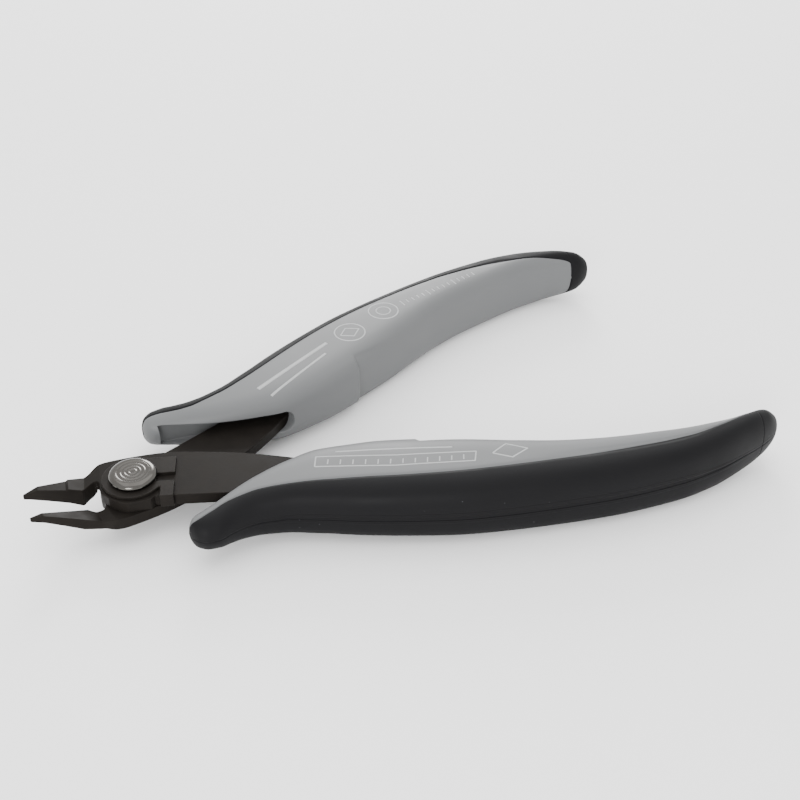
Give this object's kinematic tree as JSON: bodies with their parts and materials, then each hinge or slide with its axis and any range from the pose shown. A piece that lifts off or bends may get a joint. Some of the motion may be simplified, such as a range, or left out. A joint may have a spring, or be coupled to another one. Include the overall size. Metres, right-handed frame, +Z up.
{
  "type": "flush cutter",
  "caption": "Hand-held flush cutter for electronics work, with two lapped blades on a rivet, a hidden return spring and two-colour grips.",
  "frame": {"origin": "middle of the rectangle that the open cutter covers on the table, at the table", "axes": "+X from the jaws to the tails of the grips, +Z up, along the rivet towards its head"},
  "size_m": [0.1331, 0.0788, 0.0128],
  "materials": {
    "blade_steel": "blackened carbon steel with a fine grain, bare at the ground tips",
    "rivet_steel": "bright turned and polished steel",
    "spring_steel": "drawn spring wire",
    "grip_plastic": "satin mid-grey moulded plastic",
    "grip_rubber": "matt black soft moulding with a fine sheen"
  },
  "bodies": {
    "upper_half": {"upper_blade": "blade_steel", "front_grip_body": "grip_plastic", "front_grip_cushion": "grip_rubber", "pivot_rivet": "rivet_steel", "rivet_washer": "blade_steel", "retaining_plate": "blade_steel", "return_spring": "spring_steel"},
    "lower_half": {"lower_blade": "blade_steel", "rear_grip_body": "grip_plastic", "rear_grip_cushion": "grip_rubber"}
  },
  "joints": [
    {"name": "pivot", "type": "hinge", "parent": "upper_half", "child": "lower_half", "pos_m": [-0.04812, 0, 0.0064], "axis": [0, 0, -1], "range_deg": [0, 18], "stiffness_Nm_per_rad": 0.57, "springref_deg": -14.9, "deforming": ["return_spring"]}
  ]
}
